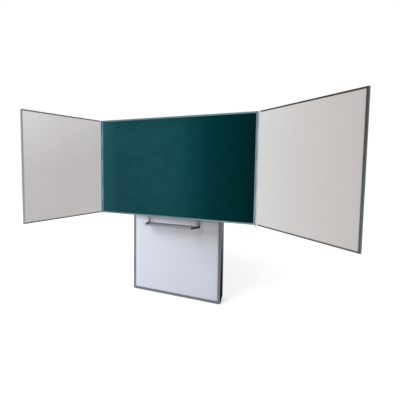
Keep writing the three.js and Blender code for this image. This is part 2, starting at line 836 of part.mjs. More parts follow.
// Carriage arm: a plate beside the column, with two roller axles and the cable lug in the channel
function carriageArm(side, hand, group) {
  const front = board_front_y + core_back + seat_gap;
  const low = lower_roller_z - rail_height / 2;
  const high = lug_z + arm_ear_radius;
  const roller_span = upper_roller_z - lower_roller_z;
  const holes_middle = (lower_roller_z + upper_roller_z) / 2;
  const hole_y = (front + arm_ear_radius) / 2;
  const holes = Array.from({ length: arm_hole_count }, (_, i) => {
    const offset = (i - (arm_hole_count - 1) / 2) * arm_hole_pitch_share * roller_span;
    return circle(hole_y, holes_middle + offset, arm_hole_radius_share * roller_span, medium_sides);
  });
  const plate_outline = outline([
    [front, low],
    ...arc(0, low + arm_ear_radius, arm_ear_radius, -Math.PI / 2, 0, corner_steps),
    ...arc(0, high - arm_ear_radius, arm_ear_radius, 0, Math.PI / 2, corner_steps),
    [front, high],
  ], holes);
  const plate = extrudeAcross(plate_outline, hand * arm_inner_x, hand * (arm_inner_x + arm_thickness));
  const stub_tip = hand * (channel_x - channel_depth / 2 + seat_gap);
  const stub_root = hand * (arm_inner_x + arm_thickness / 2);
  const stubAt = (z) => extrudeAcross(
    outline(circle(0, z, roller_axle_radius, medium_sides)), stub_tip, stub_root,
  );
  const lug = extrudeAcross(
    outline(rectangle(-lug_depth / 2, lug_depth / 2, lug_z - lug_height / 2, lug_z + lug_height / 2)),
    hand * channel_x - roller_width / 2,
    hand * channel_x + roller_width / 2,
  );
  const geometry = join(plate, stubAt(lower_roller_z), stubAt(upper_roller_z), stubAt(lug_z), lug);
  addPiece(group, `${side}_carriage_arm`, geometry, dark_steel_finish);
}

// Roller with a hub, a thinner web and a round-edged tread
function roller(name, hand, middle_z, group) {
  const half = roller_width / 2;
  const bore = roller_axle_radius + seat_gap;
  const web_half = roller_web / 2;
  const tread_inner = roller_radius - roller_tyre;
  const edge = roller_tyre / 2;
  const geometry = turnedAcross([
    [bore, half],
    [bore, -half],
    [roller_hub_radius, -half],
    [roller_hub_radius, -web_half],
    [tread_inner, -web_half],
    [tread_inner, -half],
    [roller_radius - edge, -half],
    [roller_radius, edge - half],
    [roller_radius, half - edge],
    [roller_radius - edge, half],
    [tread_inner, half],
    [tread_inner, web_half],
    [roller_hub_radius, web_half],
    [roller_hub_radius, half],
    [bore, half],
  ], fine_sides);
  const wheel = addPiece(group, name, geometry, nylon_finish);
  wheel.position.set(hand * channel_x, 0, middle_z);
}

// Handle arm: a flat bar behind the board's lower rail, down to the back of the tray
function handleArm(side, hand, group) {
  const middle = hand * handle_arm_x - handle_offset;
  const bar = outline(roundedRectangle(
    middle - handle_arm_width / 2,
    middle + handle_arm_width / 2,
    tray_top_z - tray_height,
    board_bottom_z + handle_arm_lap,
    handle_arm_corner,
  ));
  const front = board_back_y + seat_gap;
  const geometry = extrudeBack(bar, front, front + handle_arm_thickness);
  addPiece(group, `${side}_handle_arm`, geometry, handle_finish);
}

// A block with a slanted face: its left and right edges run back to front at the tray's cut
function slantedBlock(left, right, low, high) {
  return extrudeUp(outline([
    [left - tray_right_slant, tray_front_y],
    [right - tray_right_slant, tray_front_y],
    [right, tray_rear_y],
    [left, tray_rear_y],
  ]), low, high);
}

// Pen tray: a shallow trough that doubles as the handle's grip
function penTray(group) {
  const floor = tray_top_z - tray_height;
  const lip_top = tray_top_z - tray_lip_drop;
  const section = outline([
    [tray_front_y, floor],
    [tray_rear_y, floor],
    [tray_rear_y, tray_top_z],
    [tray_rear_y - tray_wall, tray_top_z],
    [tray_rear_y - tray_wall, floor + tray_wall],
    [tray_front_y + tray_wall, floor + tray_wall],
    [tray_front_y + tray_wall, lip_top],
    [tray_front_y, lip_top],
  ]);
  const trough = extrudeAcross(section, tray_left, tray_right);
  const waste_right = tray_right + 2 * tray_right_slant;
  const waste = slantedBlock(tray_right, waste_right, floor - tray_height, tray_top_z + tray_height);
  addPiece(group, 'pen_tray', cut(trough, waste), handle_finish);
}

// End caps of the tray
function trayCaps(group) {
  const low = tray_top_z - tray_height - tray_cap_border;
  const high = tray_top_z + tray_cap_border;
  const left_x = tray_left - seat_gap;
  const left_plate = extrudeAcross(
    outline(roundedRectangle(tray_front_y - tray_cap_border, tray_rear_y, low, high, tray_cap_border)),
    left_x - tray_cap_thickness,
    left_x,
  );
  addPiece(group, 'left_tray_cap', left_plate, black_finish);
  const tray_depth = tray_rear_y - tray_front_y;
  const slant_length_share = Math.hypot(tray_right_slant, tray_depth) / tray_depth;
  const right_x = tray_right + seat_gap * slant_length_share;
  const right_plate = slantedBlock(right_x, right_x + tray_cap_thickness * slant_length_share, low, high);
  addPiece(group, 'right_tray_cap', right_plate, black_finish);
}

// The whole board
const school_board = new THREE.Group();
bottomRail(school_board);
frontPanel(school_board);
wallRail('upper_wall_rail', profile_top_z - wall_rail_height, school_board);
wallRail('lower_wall_rail', lower_wall_rail_z, school_board);
headCover(school_board);
school_board.add(centreBoard());
carriageRail('lower_carriage_rail', lower_roller_z, school_board);
carriageRail('upper_carriage_rail', upper_roller_z, school_board);
penTray(school_board);
trayCaps(school_board);
const folds_deg = { left: left_wing_fold_deg, right: right_wing_fold_deg };
for (const [side, hand] of [['left', -1], ['right', 1]]) {
  guideProfile(side, hand, school_board);
  footCorner(side, hand, school_board);
  pulleyBracket(side, hand, school_board);
  pulleyAxle(side, hand, school_board);
  pulley(side, hand, school_board);
  cable(side, hand, school_board);
  counterweight(side, hand, school_board);
  weightRod(side, hand, school_board);
  downStop(side, hand, school_board);
  carriageArm(side, hand, school_board);
  roller(`${side}_lower_roller`, hand, lower_roller_z, school_board);
  roller(`${side}_upper_roller`, hand, upper_roller_z, school_board);
  handleArm(side, hand, school_board);
  hingePin(side, hand, school_board);
  school_board.add(wing(side, hand, folds_deg[side]));
}

export default school_board;
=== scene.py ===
import math

import bmesh
import bpy
import numpy as np
from mathutils import Matrix, Vector


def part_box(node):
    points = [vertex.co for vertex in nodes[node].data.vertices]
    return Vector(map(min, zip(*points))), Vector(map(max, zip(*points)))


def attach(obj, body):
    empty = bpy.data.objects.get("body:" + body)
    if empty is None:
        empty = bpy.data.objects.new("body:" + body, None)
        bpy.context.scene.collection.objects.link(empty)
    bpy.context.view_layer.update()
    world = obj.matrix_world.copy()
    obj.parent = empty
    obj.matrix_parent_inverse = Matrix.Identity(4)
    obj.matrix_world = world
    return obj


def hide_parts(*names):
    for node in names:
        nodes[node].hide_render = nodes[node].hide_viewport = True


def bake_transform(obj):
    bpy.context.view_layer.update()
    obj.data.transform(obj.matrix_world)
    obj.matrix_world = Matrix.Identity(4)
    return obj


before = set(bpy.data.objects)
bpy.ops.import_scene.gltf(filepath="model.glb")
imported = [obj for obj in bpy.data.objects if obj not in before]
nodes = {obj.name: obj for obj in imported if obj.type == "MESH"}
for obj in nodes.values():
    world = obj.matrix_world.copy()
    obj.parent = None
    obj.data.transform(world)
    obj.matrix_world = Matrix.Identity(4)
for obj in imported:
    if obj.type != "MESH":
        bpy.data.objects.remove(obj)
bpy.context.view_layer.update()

# Where the CAD puts the board and its wings at rest: metres, and degrees from flat
BOARD_LEFT_X, BOARD_WIDTH = -0.99, 1.9
BOARD_LOW_Z, BOARD_HEIGHT = 0.98, 1.2
BOARD_TOP_Z = 2.18
FRAME_BACK_Y = -0.118
HINGE_LINES = {"left": (-0.997, -0.144), "right": (0.917, -0.144)}
WING_FOLDS = {"left": 67.0, "right": 42.5}
WING_NEAR, WING_FAR = 0.007, 0.953  # from the hinge line to the wing frame's two ends
HANDS = {"left": -1, "right": 1}  # the sign of x on each side

# Camera: the photographer stood to the right of the column, at eye height. The values are a
# least-squares fit to the photograph's edges, in its pixels, in metres and in radians.
FRAME_PX = 400
FOCAL_PX = 249.985
CENTRE_PX = (161.696, 178.810)
SENSOR_WIDTH = 36
CAMERA_PLACE = (0.889, -2.953, 1.622)
YAW, PITCH, ROLL = 0.35498, 0.05843, 0.00705


def look_matrix(yaw, pitch, roll):
    """The camera's right, down and forward directions, as rows."""
    cy, sy = math.cos(yaw), math.sin(yaw)
    cp, sp = math.cos(pitch), math.sin(pitch)
    cr, sr = math.cos(roll), math.sin(roll)
    turn = np.array([[cy, 0, sy], [0, 1, 0], [-sy, 0, cy]])
    tilt = np.array([[1, 0, 0], [0, cp, -sp], [0, sp, cp]])
    lean = np.array([[cr, -sr, 0], [sr, cr, 0], [0, 0, 1]])
    facing_wall = np.array([[1, 0, 0], [0, 0, -1], [0, 1, 0]])
    return lean @ tilt @ turn @ facing_wall


def make_camera():
    right, down, forward = look_matrix(YAW, PITCH, ROLL)
    data = bpy.data.cameras.new("camera")
    data.sensor_width = SENSOR_WIDTH
    data.lens = FOCAL_PX * SENSOR_WIDTH / FRAME_PX
    data.shift_x = (FRAME_PX / 2 - CENTRE_PX[0]) / FRAME_PX
    data.shift_y = (CENTRE_PX[1] - FRAME_PX / 2) / FRAME_PX
    data.clip_start, data.clip_end = 0.05, 60
    cam = bpy.data.objects.new("camera", data)
    bpy.context.scene.collection.objects.link(cam)
    axes = Matrix((right, -down, -forward)).transposed()
    cam.matrix_world = Matrix.Translation(CAMERA_PLACE) @ axes.to_4x4()
    bpy.context.scene.camera = cam


make_camera()
bpy.context.scene.view_settings.view_transform = "Standard"


# Colours are written in sRGB, 0 to 255, and stored linear
def linear(r, g, b):
    def one(c):
        c = c / 255
        return c / 12.92 if c <= 0.04045 else ((c + 0.055) / 1.055) ** 2.4
    return (one(r), one(g), one(b), 1.0)


def shade(colour, factor):
    return (colour[0] * factor, colour[1] * factor, colour[2] * factor, 1.0)


def grey(level):
    return (level, level, level, 1.0)


# Stops of a colour ramp, each written as its place and then what stands there
def colours(*stops):
    return [(place, linear(r, g, b)) for place, r, g, b in stops]


def tints(*stops):
    return [(place, (r, g, b, 1)) for place, r, g, b in stops]


def levels(*stops):
    return [(place, grey(level)) for place, level in stops]


class Nodes:
    """Short calls for building one material's nodes."""

    # The mix node's colour sockets share their names with other sockets, so they go by index
    MIX_A, MIX_B, MIX_RESULT = 6, 7, 2

    def __init__(self, name):
        self.mat = bpy.data.materials.new(name)
        self.mat.use_nodes = True
        self.tree = self.mat.node_tree
        self.bsdf = self.tree.nodes["Principled BSDF"]
        self.object = self.add("ShaderNodeTexCoord").outputs["Object"]

    def add(self, kind, **settings):
        node = self.tree.nodes.new(kind)
        for key, value in settings.items():
            setattr(node, key, value)
        return node

    def link(self, a, b):
        self.tree.links.new(a, b)

    def feed(self, socket, value):
        """Links a node's output to a socket, or sets the socket's own value."""
        if isinstance(value, bpy.types.NodeSocket):
            self.link(value, socket)
        else:
            socket.default_value = value

    def scaled(self, x, y, z):
        mapping = self.add("ShaderNodeMapping")
        mapping.inputs["Scale"].default_value = (x, y, z)
        self.link(self.object, mapping.inputs["Vector"])
        return mapping.outputs["Vector"]

    def noise(self, vector, scale, detail=3.0, rough=0.55):
        node = self.add("ShaderNodeTexNoise")
        node.inputs["Scale"].default_value = scale
        node.inputs["Detail"].default_value = detail
        node.inputs["Roughness"].default_value = rough
        self.link(vector, node.inputs["Vector"])
        return node.outputs["Fac"]

    def streaks(self, along):
        """Fine brush lines along one axis."""
        lengthwise, crosswise = 2, 700
        scales = [lengthwise if letter == along else crosswise for letter in "XYZ"]
        return self.noise(self.scaled(*scales), scale=1.0, detail=2.0)

    def remap(self, value, low, high, from_low=0.3, from_high=0.7):
        """Maps one range to another. The first one is by default that of a noise."""
        node = self.add("ShaderNodeMapRange")
        node.inputs["From Min"].default_value = from_low
        node.inputs["From Max"].default_value = from_high
        node.inputs["To Min"].default_value = low
        node.inputs["To Max"].default_value = high
        self.link(value, node.inputs["Value"])
        return node.outputs["Result"]

    def ramp(self, value, stops):
        node = self.add("ShaderNodeValToRGB")
        elements = node.color_ramp.elements
        while len(elements) < len(stops):
            elements.new(0.5)
        for element, (place, colour) in zip(elements, stops):
            element.position = place
            element.color = colour
        self.link(value, node.inputs["Fac"])
        return node.outputs["Color"]

    def mix(self, factor, a, b, blend="MIX"):
        node = self.add("ShaderNodeMix", data_type="RGBA", blend_type=blend)
        self.feed(node.inputs["Factor"], factor)
        self.feed(node.inputs[self.MIX_A], a)
        self.feed(node.inputs[self.MIX_B], b)
        return node.outputs[self.MIX_RESULT]

    def times(self, a, b):
        return self.mix(1.0, a, b, "MULTIPLY")

    def varied(self, pattern, colour, spread):
        """A colour that is darker and lighter by a noise."""
        dark, light = shade(colour, 1 - spread), shade(colour, 1 + spread)
        return self.mix(self.remap(pattern, 0, 1), dark, light)

    def along(self, letter, low, high, start=0, end=1):
        """From start to end between two places on an axis."""
        node = self.add("ShaderNodeSeparateXYZ")
        self.link(self.object, node.inputs[0])
        return self.remap(node.outputs[letter], start, end, low, high)

    def facing(self, letter, low=0.5, high=0.7):
        """1 on faces that look along an axis, 0 on the others."""
        node = self.add("ShaderNodeSeparateXYZ")
        self.link(self.add("ShaderNodeTexCoord").outputs["Normal"], node.inputs[0])
        return self.remap(node.outputs[letter], 0, 1, low, high)

    def front(self):
        """1 on faces that look to the front, along -Y."""
        return self.facing("Y", -0.5, -0.9)

    def near_upright(self, place, inner, outer):
        """1 within the inner radius of an upright line at place, 0 beyond the outer one."""
        flat = self.scaled(1, 1, 0)
        node = self.add("ShaderNodeVectorMath", operation="DISTANCE")
        node.inputs[1].default_value = (*place, 0)
        self.link(flat, node.inputs[0])
        return self.remap(node.outputs["Value"], 1, 0, inner, outer)

    def bump(self, height, strength, distance):
        node = self.add("ShaderNodeBump")
        node.inputs["Strength"].default_value = strength
        node.inputs["Distance"].default_value = distance
        self.link(height, node.inputs["Height"])
        self.link(node.outputs["Normal"], self.bsdf.inputs["Normal"])

    def finish(self, colour, rough, metal=0.0, specular=0.5):
        self.link(colour, self.bsdf.inputs["Base Color"])
        self.feed(self.bsdf.inputs["Roughness"], rough)
        self.feed(self.bsdf.inputs["Metallic"], metal)
        self.bsdf.inputs["Specular IOR Level"].default_value = specular
        return self.mat


# Each roughness is a range, each bump a strength and a distance
STREAKED_ROUGH, PROFILE_ROUGH, STRAND_ROUGH = (0.32, 0.5), (0.35, 0.5), (0.3, 0.5)
STREAK_BUMP, STRAND_BUMP, GRAIN_BUMP = (0.15, 0.0001), (0.6, 0.0004), (0.1, 0.00006)
PEEL_STRENGTH = 0.25
CLOUD_SHARE, CLOUD_TONE = 0.25, 0.86  # how much and how dark the clouds on brushed metal are
HINGE_ROLL = (0.0066, 0.0072)  # distances from the hinge line: all knuckle to the first, none past it
LOWER_PART = (1.4, 1.95)  # heights: the lower colour is full under the first, none over the second
FIRST_METRE = (0.0, 1.0)  # heights over the floor


def brushed(
    name, colour, along, spread=0.14, metal=0.85, hinge=None, lower=None, knuckle=(108, 121, 129),
):
    """Anodised aluminium or steel with fine streaks along one axis.

    hinge is the hinge line that the bar is rolled round, where it takes the knuckle colour, a painted
    reflection, and lower is the colour that it drifts to at its lower end, as painted light.
    """
    n = Nodes(name)
    colour = linear(*colour)
    streaks = n.streaks(along)
    clouds = n.remap(n.noise(n.object, scale=3.0), 0, CLOUD_SHARE)
    base = n.mix(clouds, n.varied(streaks, colour, spread), shade(colour, CLOUD_TONE))
    if lower:
        base = n.mix(n.along("Z", *LOWER_PART, 1, 0), base, linear(*lower))
    if hinge:
        base = n.mix(n.near_upright(HINGE_LINES[hinge], *HINGE_ROLL), base, linear(*knuckle))
    n.bump(streaks, *STREAK_BUMP)
    return n.finish(base, n.remap(streaks, *STREAKED_ROUGH), metal)


def painted(
    name, colour, rough=0.45, grain=900.0, depth=0.0001, metal=0.0, spread=0.08, specular=0.5,
):
    """Powder coat, cast iron or moulded plastic: fine orange peel and slight cloudiness."""
    n = Nodes(name)
    swing = 0.06
    peel = n.noise(n.object, grain, detail=2.0)
    clouds = n.noise(n.object, scale=6.0, detail=4.0)
    n.bump(peel, PEEL_STRENGTH, depth)
    base = n.varied(clouds, linear(*colour), spread)
    return n.finish(base, n.remap(clouds, rough - swing, rough + swing), metal, specular)


def graded(name, span, stops, rough, grain, specular, mottle, upward=None, painted_shades=()):
    """Enamelled sheet whose tone drifts across it as painted light and shade, with a soft mottle and
    a fine grain.

    span holds the x where the stops begin and end. mottle holds the noise's scale, the factors of
    its darkest and lightest patches, and the depth of its specks. upward holds two heights and the
    stops between them at each end of the span, a painted light and shade. Each of painted_shades
    holds stops across the span, stops over the metre above the floor, and the factor that the front
    face takes where both are 1: a painted shade.
    """
    swing = 0.05
    n = Nodes(name)
    place = n.along("X", *span)
    tone = n.ramp(place, stops)
    if upward:
        heights, at_start, at_end = upward
        height = n.along("Z", *heights)
        tone = n.times(tone, n.mix(place, n.ramp(height, at_start), n.ramp(height, at_end)))
    # each of these is a painted shade on the front face
    for across_stops, up_stops, factor in painted_shades:
        across = n.ramp(n.along("X", *span), across_stops)
        up = n.ramp(n.along("Z", *FIRST_METRE), up_stops)
        part = n.times(n.times(across, up), n.front())
        tone = n.mix(part, tone, n.times(tone, factor))
    scale, darkest, lightest, depth = mottle
    patches = n.noise(n.object, scale, detail=5.0, rough=0.6)
    wiped = n.noise(n.scaled(1.5, 1.5, 9.0), scale)
    specks = n.noise(n.object, scale * 4, rough=0.6)
    tone = n.times(tone, n.ramp(n.remap(patches, 0, 1), [(0, darkest), (1, lightest)]))
    for pattern, share in ((wiped, depth * 0.5), (specks, depth)):
        tone = n.times(tone, n.ramp(n.remap(pattern, 0, 1), levels((0, 1 - share), (1, 1 + share))))
    n.bump(n.noise(n.object, grain, detail=2.0), *GRAIN_BUMP)
    return n.finish(tone, n.remap(patches, rough - swing, rough + swing), specular=specular)


# Heights that the tones are graded over
WING_HEIGHTS = (BOARD_LOW_Z, BOARD_TOP_Z)
SURFACE_HEIGHTS = (0.998, 2.162)  # the green surface inside its frame
TRAY_WALL_HEIGHTS = (0.886, 0.906)
WHITE_MOTTLE = (2.0, grey(0.995), grey(1.005), 0.004)

# painted reflection and shade: the green runs from lighter at the left to near black at the right, and is
# darker at the top under the frame's top rail
green = graded(
    "green_enamel_look", span=(-0.98, 0.90),
    stops=colours(
        (0.0, 34, 82, 94), (0.04, 28, 77, 84), (0.12, 24, 67, 72), (0.25, 22, 66, 71),
        (0.45, 22, 67, 72), (0.55, 18, 65, 70), (0.7, 6, 51, 56), (0.78, 1, 44, 47),
        (0.88, 0, 40, 43), (1.0, 0, 29, 33),
    ),
    rough=0.6, grain=700.0, specular=0.015,
    mottle=(7.0, (0.84, 0.90, 0.91, 1), (1.16, 1.10, 1.10, 1), 0.07),
    upward=(
        SURFACE_HEIGHTS,
        levels((0.0, 1), (0.88, 1), (1.0, 0.87)),
        levels((0.0, 1), (0.9, 1), (1.0, 0.93)),
    ),
)
# painted shade: the left wing darkens toward the bottom of its free end and is lightest at its top
white_left = graded(
    "left_white_enamel_look", span=(-1.37, -1.00),
    stops=colours((0.0, 223, 221, 222), (0.5, 214, 211, 211), (1.0, 217, 214, 214)),
    rough=0.28, grain=500.0, specular=0.3, mottle=WHITE_MOTTLE,
    upward=(
        WING_HEIGHTS,
        tints((0.0, 0.738, 0.72, 0.70), (0.5, 0.81, 0.785, 0.775), (1.0, 1.01, 1.01, 1.0)),
        tints((0.0, 1.0, 0.99, 0.975), (0.5, 1.01, 0.995, 0.98), (1.0, 1.04, 1.03, 1.02)),
    ),
)
# painted light and shade: the right wing is lightest at its hinge and toward the bottom, darker toward
# its free end and top
white_right = graded(
    "right_white_enamel_look", span=(0.92, 1.62),
    stops=colours((0.0, 214, 214, 214), (0.5, 200, 197, 195), (1.0, 188, 183, 181)),
    rough=0.28, grain=500.0, specular=0.3, mottle=WHITE_MOTTLE,
    upward=(
        WING_HEIGHTS,
        levels((0.0, 1.04), (0.5, 1.01), (1.0, 0.965)),
        levels((0.0, 1.02), (0.5, 1.0), (1.0, 0.96)),
    ),
)
# painted light and shade: the panel is lightest at its left edge and darker toward the right
panel = graded(
    "column_panel_look", span=(-0.55, 0.55),
    stops=colours(
        (0.0, 222, 228, 238), (0.1, 210, 215, 226), (0.5, 203, 207, 219),
        (0.93, 194, 199, 211), (1.0, 184, 188, 200),
    ),
    rough=0.45, grain=600.0, specular=0.3,
    mottle=(3.0, grey(0.992), grey(1.008), 0.005),
    painted_shades=[
        (  # the soft shade under the board, on the right
            levels((0.40, 0), (0.59, 0.14), (0.70, 0.34), (0.79, 0.78), (0.86, 0.95), (1.0, 1)),
            levels((0.35, 0), (0.60, 0.25), (0.70, 0.43), (0.78, 0.68), (0.83, 1), (1.0, 0.85)),
            (0.59, 0.53, 0.47, 1),
        ),
        (  # the warmer light round the tray
            levels((0.30, 0), (0.45, 1), (0.75, 1), (0.85, 0)),
            levels((0.55, 0), (0.72, 0.4), (0.82, 1), (0.87, 0.8), (1.0, 0)),
            (0.98, 0.94, 0.905, 1),
        ),
    ],
)


def tray_metal():
    """The tray: painted light makes its trough lighter than its walls, and painted shade darkens their
    lower edges.
    """
    n = Nodes("tray_aluminium_look")
    streaks = n.streaks("X")
    # painted shade: the walls darken toward their lower edges
    walls = n.ramp(n.along("Z", *TRAY_WALL_HEIGHTS), colours(
        (0.0, 112, 112, 120), (0.35, 120, 120, 128), (0.6, 146, 148, 155), (1.0, 138, 140, 147),
    ))
    # painted light: the faces that look up, the trough's, are lighter
    colour = n.mix(n.facing("Z"), walls, linear(168, 170, 178))
    base = n.times(colour, n.ramp(streaks, levels((0.3, 0.9), (0.7, 1.1))))
    n.bump(streaks, *STREAK_BUMP)
    return n.finish(base, n.remap(streaks, *PROFILE_ROUGH), metal=0.35)


def side_shaded_column():
    """The right profile, with painted shade: its outer side runs from grey at the top to near black at
    the foot, and its front from dark under the board to lighter at the foot."""
    n = Nodes("column_aluminium_right")
    streaks = n.streaks("Z")
    height = n.along("Z", *FIRST_METRE)
    plain = n.varied(streaks, linear(105, 105, 110), spread=0.12)
    # painted shade on the front: darker toward the board, lighter toward the foot
    rise = n.ramp(height, levels((0.1, 1.2), (0.35, 1.08), (0.6, 0.95), (0.8, 0.74)))
    front = n.mix(n.front(), plain, n.times(plain, rise))
    # painted shade on the outer side: near black at the foot, grey higher up
    side = n.ramp(height, colours(
        (0.06, 2, 2, 2), (0.14, 5, 5, 6), (0.21, 14, 14, 15), (0.35, 38, 39, 41),
        (0.56, 70, 71, 74), (0.77, 108, 108, 111), (0.91, 134, 133, 137),
    ))
    outer = n.facing("X")
    base = n.mix(outer, front, side)
    n.bump(streaks, *STREAK_BUMP)
    metal = n.remap(outer, 0.85, 0.0, 0.0, 1.0)  # the outer side is dull
    return n.finish(base, n.remap(streaks, *PROFILE_ROUGH), metal, specular=0.0)


def rope(name):
    """Steel wire rope: slanted strands, with painted shade in the grooves between them."""
    n = Nodes(name)
    wave = n.add("ShaderNodeTexWave", bands_direction="DIAGONAL")
    wave.inputs["Scale"].default_value = 180.0
    n.link(n.object, wave.inputs["Vector"])
    strands = wave.outputs["Fac"]
    colour = linear(150, 152, 156)
    base = n.mix(n.remap(strands, 0, 1, 0, 1), shade(colour, 0.45), shade(colour, 1.15))
    n.bump(strands, *STRAND_BUMP)
    return n.finish(base, n.remap(strands, *STRAND_ROUGH, 0, 1), metal=1.0)


# The bars' tones differ as in the photograph, where each one mirrors another part of the room: each bar's
# tone is a painted reflection
# painted glint on the knuckles at the right hinge
KNUCKLE_GLINT = (180, 188, 194)
frame_across = brushed("frame_aluminium_across", (112, 132, 140), "X")
left_wing_rail = brushed("left_wing_aluminium", (101, 100, 100), "Y")
column_across = brushed("column_aluminium_across", (115, 118, 124), "X")
column_up = brushed("column_aluminium_up", (123, 123, 133), "Z")
column_right = side_shaded_column()
core_back = painted("core_back_look", (187, 185, 179), rough=0.6, grain=300.0, spread=0.025)
dark_steel = painted("dark_steel_look", (62, 64, 68), grain=700.0, metal=0.4)
cast_iron = painted(
    "cast_iron_look", (58, 59, 61), rough=0.75, grain=260.0, depth=0.0006, metal=0.4, spread=0.25,
)
wheel_plastic = painted("wheel_plastic_look", (216, 213, 200), rough=0.5, grain=500.0)
black_plastic = painted("black_plastic_look", (20, 20, 22), rough=0.5, grain=800.0, specular=0.3)
stop_rubber = painted("stop_rubber_look", (28, 28, 28), rough=0.85, grain=500.0, specular=0.3)
steel = brushed("steel_look", (141, 144, 150), "X", metal=1.0)
screw = brushed("screw_steel_look", (150, 152, 158), "X", spread=0.08, metal=1.0)
wire_rope = rope("wire_rope_look")

looks = {
    "writing_surface": green,
    "left_wing_surface": white_left,
    "right_wing_surface": white_right,
    "column_front_panel": panel,
    "board_core": core_back,
    "left_wing_core": core_back,
    "right_wing_core": core_back,
    "board_bottom_rail": frame_across,
    "board_top_rail": frame_across,
    "board_left_stile": brushed("frame_aluminium_left", (126, 148, 158), "Z", hinge="left"),
    "board_right_stile": brushed(
        "frame_aluminium_right", (118, 133, 141), "Z", hinge="right", knuckle=KNUCKLE_GLINT,
    ),
    "left_wing_hinge_stile": brushed(
        "left_hinge_stile_aluminium", (212, 217, 224), "Z", spread=0.05, metal=0.2, hinge="left",
    ),
    "right_wing_hinge_stile": brushed(
        "right_hinge_stile_aluminium", (214, 218, 223), "Z", spread=0.05, metal=0.2, hinge="right",
        knuckle=KNUCKLE_GLINT,
    ),
    "left_wing_bottom_rail": left_wing_rail,
    "left_wing_top_rail": left_wing_rail,
    "left_wing_free_stile": brushed("left_wing_aluminium_up", (150, 151, 155), "Z"),
    "right_wing_bottom_rail": brushed("right_wing_aluminium", (90, 90, 93), "X"),
    "right_wing_top_rail": brushed("right_wing_aluminium_top", (62, 58, 56), "X"),
    # its lower colour is painted light: the stile grows lighter toward its foot
    "right_wing_free_stile": brushed(
        "right_wing_aluminium_up", (70, 69, 70), "Z", lower=(78, 83, 87),
    ),
    # painted light and shade: the two arms are one metal, the left one lit and the right one shaded
    "left_handle_arm": brushed("left_handle_aluminium_look", (128, 129, 136), "X", metal=0.4),
    "right_handle_arm": brushed("right_handle_aluminium_look", (92, 90, 92), "X", metal=0.4),
    "pen_tray": tray_metal(),
    "head_cover": column_across,
    "column_bottom_rail": column_across,
    "left_guide_profile": column_up,
    "left_foot_corner": column_up,
    "right_guide_profile": column_right,
    "right_foot_corner": column_right,
    "upper_wall_rail": dark_steel,
    "lower_wall_rail": dark_steel,
    "upper_carriage_rail": dark_steel,
    "lower_carriage_rail": dark_steel,
}
for side in HANDS:
    looks.update({
        f"{side}_pulley_bracket": dark_steel,
        f"{side}_pulley_axle": steel,
        f"{side}_pulley": wheel_plastic,
        f"{side}_cable_wrap": wire_rope,
        f"{side}_cable_board_run": wire_rope,
        f"{side}_cable_weight_run": wire_rope,
        f"{side}_down_stop": stop_rubber,
        f"{side}_hinge_pin": dark_steel,
        f"{side}_carriage_arm": dark_steel,
        f"{side}_tray_cap": black_plastic,
        f"{side}_counterweight": cast_iron,
        f"{side}_weight_rod": steel,
        f"{side}_lower_roller": wheel_plastic,
        f"{side}_upper_roller": wheel_plastic,
    })
for name, node in nodes.items():
    node.data.materials.clear()
    node.data.materials.append(looks[name])


# Edges of the metal and plastic CAD pieces are broken by a small bevel
FRAME_EDGE, PART_EDGE, RUBBER_EDGE, SCREW_EDGE = 0.0005, 0.0006, 0.0015, 0.0002
WELD_DISTANCE = 0.00002


def add_bevel(piece, width, over_degrees):
    """Bevels the edges that turn by more than an angle."""
    bevel = piece.modifiers.new("bevel", "BEVEL")
    bevel.width = width
    bevel.segments = 2
    bevel.limit_method = "ANGLE"
    bevel.angle_limit = math.radians(over_degrees)


def soften(names, width):
    for name in names:
        piece = nodes[name]
        piece.modifiers.new("weld", "WELD").merge_threshold = WELD_DISTANCE
        add_bevel(piece, width, over_degrees=38)
        piece.modifiers.new("normals", "WEIGHTED_NORMAL").keep_sharp = False


FRAMES = ("board_", "left_wing_", "right_wing_")
BARS = ("bottom_rail", "top_rail", "left_stile", "right_stile", "hinge_stile", "free_stile")
ONE_OF_EACH = (
    "pen_tray", "column_bottom_rail", "lower_carriage_rail", "upper_carriage_rail",
    "lower_wall_rail", "upper_wall_rail",
)
ONE_ON_EACH_SIDE = (
    "tray_cap", "handle_arm", "guide_profile", "foot_corner", "carriage_arm", "pulley_bracket",
)
soften([name for name in nodes if name.startswith(FRAMES) and name.endswith(BARS)], FRAME_EDGE)
soften(["head_cover"], FRAME_EDGE)
soften(ONE_OF_EACH, PART_EDGE)
for side in HANDS:
    soften([f"{side}_{part}" for part in ONE_ON_EACH_SIDE], PART_EDGE)
    soften([f"{side}_down_stop"], RUBBER_EDGE)


# Pieces that the CAD leaves to the scene: the screws and the cables' round runs
def new_piece(name, mesh, material):
    piece = bpy.data.objects.new(name, mesh)
    bpy.context.scene.collection.objects.link(piece)
    mesh.materials.append(material)
    return piece


def mesh_of(bm, name):
    mesh = bpy.data.meshes.new(name)
    bm.to_mesh(mesh)
    bm.free()
    return mesh


def round_angles(sides, twist=0.0):
    return [twist + 2 * math.pi * k / sides for k in range(sides)]


def join_rings(bm, rings):
    """Adds the faces between rings of vertices. A ring of one vertex closes the end."""
    for low, high in zip(rings, rings[1:]):
        for k in range(len(low)):
            nxt = (k + 1) % len(low)
            beyond = high if len(high) == 1 else (high[nxt], high[k])
            bm.faces.new((low[k], low[nxt], *beyond))


def frame_of(normal):
    """A unit normal and two directions at right angles to it."""
    normal = Vector(normal).normalized()
    side = normal.cross(Vector((0, 0, 1)))
    if side.length < 0.1:  # the normal is upright
        side = normal.cross(Vector((1, 0, 0)))
    side.normalize()
    return normal, side, normal.cross(side)


